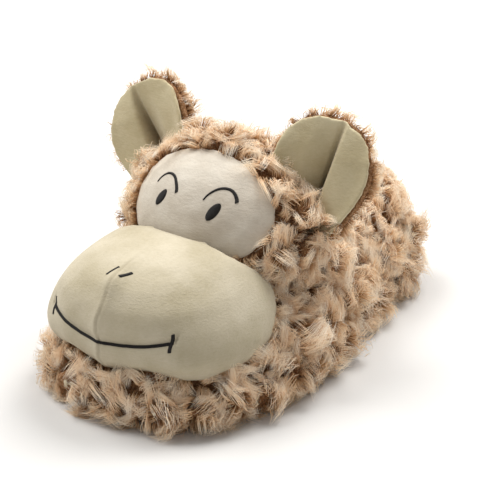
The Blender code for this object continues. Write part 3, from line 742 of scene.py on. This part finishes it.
def scatter(piece, keep, per_cm2, seed):
    """Points and smooth normals spread evenly by area over the triangles that keep() accepts."""
    chance = np.random.default_rng(seed)
    verts = coordinates(piece)
    skin_normals = vertex_normals(piece)
    tris = triangles_of(piece)
    corners = verts[tris]
    cross = np.cross(corners[:, 1] - corners[:, 0], corners[:, 2] - corners[:, 0])
    area = np.linalg.norm(cross, axis=1) / 2.0
    middle = corners.mean(axis=1)
    facing = skin_normals[tris].mean(axis=1)
    allowed = keep(middle, facing)
    weight = area * allowed
    total = int(weight.sum() * 1e4 * per_cm2)
    chosen = chance.choice(len(tris), size=total, p=weight / weight.sum())
    mix = chance.random((total, 2))
    over = mix.sum(axis=1) > 1.0
    mix[over] = 1.0 - mix[over]
    a = (1.0 - mix.sum(axis=1))[:, None]
    at = corners[chosen, 0] * a + corners[chosen, 1] * mix[:, :1] + corners[chosen, 2] * mix[:, 1:]
    normal = skin_normals[tris[chosen]]
    normal = normal[:, 0] * a + normal[:, 1] * mix[:, :1] + normal[:, 2] * mix[:, 1:]
    normal /= np.maximum(np.linalg.norm(normal, axis=1, keepdims=True), 1e-9)
    return at, normal


def spread_out(points, spacing, seed):
    """Pick points that keep a spacing, in a random order."""
    chance = np.random.default_rng(seed)
    cells = {}
    kept = []
    for index in chance.permutation(len(points)):
        point = points[index]
        cell = tuple((point // spacing).astype(int))
        near = [
            other
            for i in (-1, 0, 1) for j in (-1, 0, 1) for k in (-1, 0, 1)
            for other in cells.get((cell[0] + i, cell[1] + j, cell[2] + k), ())
        ]
        if all(np.linalg.norm(point - points[other]) >= spacing for other in near):
            cells.setdefault(cell, []).append(index)
            kept.append(index)
    return np.array(kept)


def nearest(points, targets):
    """Index of the nearest target for each point."""
    best = np.empty(len(points), dtype=np.int64)
    for begin in range(0, len(points), BATCH):
        part = points[begin:begin + BATCH]
        gap = ((part[:, None, :] - targets[None, :, :]) ** 2).sum(axis=2)
        best[begin:begin + BATCH] = gap.argmin(axis=1)
    return best


def unit(vectors):
    return vectors / np.maximum(np.linalg.norm(vectors, axis=1, keepdims=True), 1e-9)


def curl(at, normal, length, rose, tuft, seed, hang=0.0):
    """Root, middle, tip and width direction of each hair, with its tuft's shade."""
    chance = np.random.default_rng(seed)
    roses = spread_out(at[:ROSE_POOL], rose, seed + 1)
    tufts = spread_out(at[:TUFT_POOL], tuft, seed + 2)
    near_rose = nearest(at, at[roses])
    near_tuft = nearest(at, at[tufts])
    turn = chance.choice((-1.0, 1.0), size=len(roses))
    twist = chance.uniform(0.75, 1.2, size=len(roses))

    def lean(points, up, which):
        """Twist round a rose's middle and inwards to it, in the skin."""
        inward = at[roses][which] - points
        inward -= up * (inward * up).sum(axis=1, keepdims=True)
        far = np.clip(np.linalg.norm(inward, axis=1, keepdims=True) / (rose * 0.5), 0.0, 1.2)
        inward = unit(inward)
        around = np.cross(up, inward) * turn[which][:, None]
        angle = twist[which][:, None]
        return (around * np.sin(angle) + inward * np.cos(angle)) * far, far[:, 0]

    tuft_lean, tuft_far = lean(at[tufts], normal[tufts], near_rose[tufts])
    stray = STRAY * chance.normal(size=(len(tufts), 3))
    lifted = (stray * normal[tufts]).sum(axis=1, keepdims=True)
    tuft_lean = 0.75 * tuft_lean + stray - normal[tufts] * lifted
    bow_side = chance.choice((-BOW, BOW), size=(len(tufts), 1))
    tuft_bow = np.cross(normal[tufts], unit(tuft_lean)) * bow_side
    tuft_length = length * chance.uniform(0.75, 1.15, size=len(tufts)) * (1.08 - 0.22 * tuft_far)
    # Tufts far from a rose's middle are darker: painted shade in the partings, on top of random tone.
    shade = chance.normal(0.0, 0.16, size=len(tufts)) - 0.18 * tuft_far

    direction = tuft_lean[near_tuft] + 0.22 * chance.normal(size=at.shape)
    size = (tuft_length[near_tuft] * chance.uniform(0.75, 1.12, size=len(at)))[:, None]
    bow = tuft_bow[near_tuft]
    middle = at + (normal * 0.64 + direction * 0.16 + bow) * size
    tip = at + (normal * 0.66 + direction * 0.74 - bow * 0.5) * size
    tuft_rise = normal[tufts] * 0.70 + tuft_lean * 0.78 - tuft_bow * 0.5
    tuft_tip = at[tufts] + tuft_rise * tuft_length[:, None]
    pull = chance.uniform(0.30, 0.72, size=(len(at), 1))
    tip = tip * (1.0 - pull) + tuft_tip[near_tuft] * pull
    drop = np.array((0.0, 0.0, -hang * length))
    across = unit(np.cross(tip - at, normal) + 0.5 * chance.normal(size=at.shape) * size)
    return at - normal * 0.6 * MM, middle + drop * 0.3, tip + drop, across, shade[near_tuft]


def join_hairs(name, curls, width=HAIR_WIDTH, floor=0.0004):
    """One mesh of bent copies of the hair."""
    root, middle, tip, across, shade = curls
    s = hair_along[None, :, None]
    spine = (
        root[:, None, :] * (1.0 - s) ** 2
        + (2.0 * middle - (root + tip) / 2.0)[:, None, :] * 2.0 * s * (1.0 - s)
        + tip[:, None, :] * s ** 2
    )
    place = spine + across[:, None, :] * (hair_across[None, :, None] * width)
    place[:, :, 2] = np.maximum(place[:, :, 2], floor)
    count = len(root)
    step = len(hair_points)
    mesh = bpy.data.meshes.new(name)
    mesh.vertices.add(count * step)
    mesh.vertices.foreach_set("co", place.reshape(-1))
    sizes = np.tile([len(face) for face in hair_faces], count)
    loops = np.concatenate([np.array(face) for face in hair_faces])
    index = (loops[None, :] + (np.arange(count) * step)[:, None]).reshape(-1)
    starts = np.concatenate(([0], np.cumsum(sizes)[:-1]))
    mesh.loops.add(len(index))
    mesh.loops.foreach_set("vertex_index", index.astype(np.int32))
    mesh.polygons.add(len(sizes))
    mesh.polygons.foreach_set("loop_start", starts.astype(np.int32))
    mesh.update(calc_edges=True)
    along = mesh.attributes.new("along", "FLOAT", "POINT")
    along.data.foreach_set("value", np.tile(hair_along, count))
    tuft = mesh.attributes.new("tuft", "FLOAT", "POINT")
    tuft.data.foreach_set("value", np.repeat(shade, step))
    mesh.shade_smooth()
    piece = bpy.data.objects.new(name, mesh)
    bpy.context.scene.collection.objects.link(piece)
    dress(piece, pile, "rosette plush")
    print(f"{name}: {count} hairs, {count * (sum(len(face) - 2 for face in hair_faces))} triangles")
    return piece


# %% [markdown]
# No hair may start inside the muzzle or the head, under the forehead, in the foot room or under the
# sole. A hair whose tip would stand too far out of the CAD box is left out.

# %% Where pile grows
PILE_PER_CM2 = 182
SHORN_REACH = 6.5 * MM
SHORN_CUT = 0.55
SEAM_HIGHLIGHT = 0.9
MOST_PAST = 13.0 * MM
TOE_END = -0.075
HEEL_START = 0.06

covers = [(tree_of(muzzle), 0.5 * MM), (tree_of(forehead), 0.4 * MM), (tree_of(head_skin), -0.5 * MM)]


def covered(points, cover):
    """Whether points lie inside a cover, or closer to it than its margin."""
    tree, margin = cover
    inside = np.zeros(len(points), dtype=bool)
    for index, point in enumerate(points):
        spot, facing, _, gap = tree.find_nearest(Vector(point))
        under = (Vector(point) - spot).dot(facing) < 0.0
        inside[index] = (under and gap < 0.03) or (margin > 0.0 and gap < margin)
    return inside


def outside_body(middle, facing):
    """True on the body's outer faces: away from the foot's middle line and not underneath."""
    outward = ((middle - foot_line(middle)) * facing).sum(axis=1) > 0.0
    under = (middle[:, 2] < 0.003) & (facing[:, 2] < -0.6)
    return outward & ~under


def grow(name, piece, keep, length, rose, tuft, seed, hides, hang=0.0, parts=None):
    """Pile on the faces that keep() accepts, shorter near the hood's seams and painted paler there as a
    highlight.
    """
    at, normal = scatter(piece, keep, PILE_PER_CM2, seed)
    hidden = np.zeros(len(at), dtype=bool)
    for cover in hides:
        hidden |= covered(at, cover)
    at, normal = at[~hidden], normal[~hidden]
    root, middle, tip, across, shade = curl(at, normal, length, rose, tuft, seed, hang)
    gap = np.sqrt(((at[:, None, :] - seam_spots[None, :, :]) ** 2).sum(axis=2).min(axis=1))
    # Near the seams the hairs are cut shorter, and their shade is raised as a painted highlight.
    shorn = np.exp(-(gap / SHORN_REACH) ** 4)
    short = (1.0 - SHORN_CUT * shorn)[:, None]
    cut_middle, cut_tip = root + (middle - root) * short, root + (tip - root) * short
    curls = (root, cut_middle, cut_tip, across, shade + SEAM_HIGHLIGHT * shorn)
    for label, chosen in (parts or {"": lambda p: np.ones(len(p), dtype=bool)}).items():
        picked = chosen(at) & (np.abs(tip) < np.array(cad_high) + MOST_PAST).all(axis=1)
        join_hairs(name + label, [values[picked] for values in curls])


grow(
    "pile_body", body_skin, outside_body, 13.0 * MM, 17.0 * MM, 4.0 * MM, 11, covers, hang=0.10,
    parts={
        "_toe": lambda p: p[:, 1] < TOE_END,
        "_left": lambda p: (p[:, 1] >= TOE_END) & (p[:, 1] < HEEL_START) & (p[:, 0] >= AXIS_X),
        "_right": lambda p: (p[:, 1] >= TOE_END) & (p[:, 1] < HEEL_START) & (p[:, 0] < AXIS_X),
        "_heel": lambda p: p[:, 1] >= HEEL_START,
    },
)
grow(
    "pile_head", head_skin, lambda m, n: m[:, 2] > 0.05, 12.0 * MM, 16.0 * MM, 4.0 * MM, 23,
    [covers[0], covers[1], (tree_of(body_skin), -1.0)],
)
for number, label in enumerate(("left", "right")):
    lining_cover = (tree_of(linings[label]), 1.4 * MM)
    grow(
        f"pile_ear_{label}", backs[label], lambda m, n: n[:, 1] > 0.1, 8.5 * MM, 13.0 * MM, 3.5 * MM,
        31 + number, [lining_cover],
    )
    into_ear = np.linalg.inv(np.array(ear_frame(label)))
    grow(
        f"pile_ear_root_{label}", linings[label],
        lambda m, n: (m @ into_ear[2, :3] + into_ear[2, 3] < 7.0 * MM) & (n[:, 1] < 0.3),
        9.0 * MM, 13.0 * MM, 3.5 * MM, 41 + number, [],
    )

# %% [markdown]
# ## Stitched face
#
# Satin stitch is thread laid side by side across a shape. Each feature is drawn from its CAD node and
# its threads are laid on the velour below it.

# %% One thread
THREAD_RINGS = 4

bpy.ops.object.select_all(action="DESELECT")
bpy.ops.mesh.primitive_circle_add(vertices=6, radius=1.0, fill_type="NGON", location=(0.0, 0.0, -1.0))
strand = bpy.context.object
bpy.ops.object.mode_set(mode="EDIT")
for step in range(THREAD_RINGS):
    bpy.ops.mesh.extrude_region_move(TRANSFORM_OT_translate={"value": (0.0, 0.0, 2.0 / THREAD_RINGS)})
bpy.ops.mesh.select_all(action="SELECT")
bpy.ops.mesh.normals_make_consistent(inside=False)
bpy.ops.object.mode_set(mode="OBJECT")
bpy.ops.object.transform_apply(location=True, rotation=False, scale=False)
strand_points = np.array([vertex.co[:] for vertex in strand.data.vertices])
strand_faces = [list(face.vertices) for face in strand.data.polygons]
bpy.data.objects.remove(strand)
print(f"one thread: {len(strand_points)} points")

# %% Lay threads along a path
THREAD_RADIUS = 0.24 * MM


def meet(tree, x, z=None, y=None):
    """Point and normal where the cloth is met from the front, or from above when y is given."""
    start = Vector((x, -0.4, z)) if y is None else Vector((x, y, 0.4))
    towards = Vector((0.0, 1.0, 0.0) if y is None else (0.0, 0.0, -1.0))
    spot, facing, _, _ = tree.ray_cast(start, towards)
    return np.array(spot), np.array(facing)


def stitch(name, path, width_at, spacing, slant, node=None, rise=0.45 * MM):
    """Threads laid side by side across a path, each bowed over the padding below it."""
    spots = np.array([spot for spot, _ in path])
    facings = np.array([facing for _, facing in path])
    run = np.concatenate(([0.0], np.cumsum(np.linalg.norm(np.diff(spots, axis=0), axis=1))))
    stations = np.arange(spacing / 2.0, run[-1], spacing)
    verts, faces = [], []
    for place in stations:
        centre = np.array([np.interp(place, run, spots[:, k]) for k in range(3)])
        normal = np.array([np.interp(place, run, facings[:, k]) for k in range(3)])
        normal /= np.linalg.norm(normal)
        ahead = np.array([
            np.interp(min(place + spacing, run[-1]), run, spots[:, k])
            - np.interp(max(place - spacing, 0.0), run, spots[:, k])
            for k in range(3)
        ])
        ahead /= np.linalg.norm(ahead)
        aside = np.cross(ahead, normal)
        along = aside * math.cos(slant) + ahead * math.sin(slant)
        other = np.cross(along, normal)
        half = width_at(place / run[-1]) / 2.0
        base = len(verts)
        for x, y, u in strand_points:
            bow = normal * (rise * (1.0 - u * u) - 0.05 * MM)
            taper = THREAD_RADIUS * (1.0 - 0.35 * u * u)
            verts.append(centre + along * (u * half) + bow + (normal * x + other * y) * taper)
        faces.extend([[base + i for i in face] for face in strand_faces])
    mesh = bpy.data.meshes.new(name)
    mesh.from_pydata([tuple(v) for v in verts], [], faces)
    mesh.shade_smooth()
    piece = bpy.data.objects.new(name, mesh)
    bpy.context.scene.collection.objects.link(piece)
    dress(piece, thread, "black stitching", *([node] if node else []))
    return piece


# %% [markdown]
# The eyes, brows, nostrils and mouth lie where their CAD nodes lie, drawn on the padded cloth.

# %% Face
muzzle_tree = tree_of(muzzle)
forehead_tree = tree_of(forehead)
for label in ("left", "right"):
    eye_low, eye_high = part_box(f"eye_{label}")
    eye_x, eye_z = (eye_low[0] + eye_high[0]) / 2.0, (eye_low[2] + eye_high[2]) / 2.0
    path = [
        meet(forehead_tree, eye_x + s * 1.9 * MM, eye_z + s * 4.1 * MM)
        for s in np.linspace(-1.0, 1.0, 9)
    ]
    stitch(
        f"eye_{label}_satin", path, lambda s: 5.6 * MM * max(1.0 - (2.0 * s - 1.0) ** 2, 0.05) ** 0.5,
        0.34 * MM, math.radians(12.0), f"eye_{label}",
    )
    brow_low, brow_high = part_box(f"brow_{label}")
    brow_x = (brow_low[0] + brow_high[0]) / 2.0
    reach = (brow_high[0] - brow_low[0]) / 2.0 - 0.5 * MM
    top = brow_high[2] - brow_low[2] - 1.0 * MM
    path = [
        meet(forehead_tree, brow_x + s * reach, brow_low[2] + top * (1.0 - abs(s) ** 2.2) ** 0.8)
        for s in np.linspace(-1.0, 1.0, 21)
    ]
    stitch(
        f"brow_{label}_satin", path, lambda s: (1.0 + 1.3 * s) * MM, 0.34 * MM, math.radians(20.0),
        f"brow_{label}", 0.3 * MM,
    )
    nostril_low, nostril_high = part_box(f"nostril_{label}")
    path = [
        meet(
            muzzle_tree, nostril_low[0] + s * (nostril_high[0] - nostril_low[0]),
            y=nostril_low[1] + s * (nostril_high[1] - nostril_low[1]),
        )
        for s in np.linspace(0.0, 1.0, 5)
    ]
    stitch(
        f"nostril_{label}_satin", path, lambda s: 1.9 * MM, 0.32 * MM, math.radians(15.0),
        f"nostril_{label}", 0.3 * MM,
    )

mouth_reach = (MOUTH_HIGH[0] - MOUTH_LOW[0]) / 2.0 - 1.0 * MM
mouth_low = MOUTH_LOW[2] + 0.8 * MM
mouth_bend = 5.0 * MM
path = [
    meet(muzzle_tree, AXIS_X + s * mouth_reach, mouth_low + mouth_bend * s * s)
    for s in np.linspace(-1.0, 1.0, 41)
]
stitch("mouth_stem_stitch", path, lambda s: 3.4 * MM, 0.70 * MM, math.radians(58.0), "mouth", 0.35 * MM)
for label, sign in (("left", 1.0), ("right", -1.0)):
    path = [
        meet(muzzle_tree, AXIS_X + sign * mouth_reach, mouth_low + mouth_bend + t * 4.6 * MM)
        for t in np.linspace(-1.0, 1.0, 7)
    ]
    stitch(
        f"mouth_tick_{label}", path, lambda s: 2.0 * MM, 0.34 * MM, math.radians(12.0), None, 0.3 * MM
    )

# %% [markdown]
# ## Floor and light
#
# The photo is high key: a white floor that runs into a white background, and a soft grey shadow to
# the right and in front. A big soft key light comes from the upper left, a little behind, and an area
# lamp from above and behind. The floor is pale grey paper that the lamps bring to white, and larger
# than the view, so it has no edge.

# %% Floor, lamps and sky
bpy.ops.object.select_all(action="DESELECT")
bpy.ops.mesh.primitive_plane_add(size=8.0, location=(0.0, 0.0, 0.0))
floor = bpy.context.object
floor.name = "studio_floor"
floor_material, floor_shader = new_material("white paper sweep")
floor_shader.inputs["Base Color"].default_value = linear("#D0CECB")
floor_shader.inputs["Roughness"].default_value = 0.9
floor_shader.inputs["Specular IOR Level"].default_value = 0.1
floor.data.materials.append(floor_material)


def add_lamp(kind, name, place, power, aim):
    bpy.ops.object.light_add(type=kind, location=place)
    lamp = bpy.context.object
    lamp.name = name
    lamp.data.energy = power
    lamp.rotation_euler = (Vector(place) - Vector(aim)).to_track_quat("Z", "Y").to_euler()
    return lamp


key = add_lamp("SUN", "key", (-0.82, -0.06, 1.2), 2.8, aim=(0.0, 0.0, 0.0))
key.data.angle = math.radians(42.0)
back = add_lamp("AREA", "back", (0.15, 0.9, 1.5), 34.0, aim=(0.0, 0.0, 0.05))
back.data.size = 1.0
world = bpy.context.scene.world or bpy.data.worlds.new("studio")
bpy.context.scene.world = world
world.use_nodes = True
world.node_tree.nodes["Background"].inputs["Color"].default_value = linear("#FFFFFF")
world.node_tree.nodes["Background"].inputs["Strength"].default_value = 0.38

bpy.context.scene.view_settings.view_transform = "Standard"
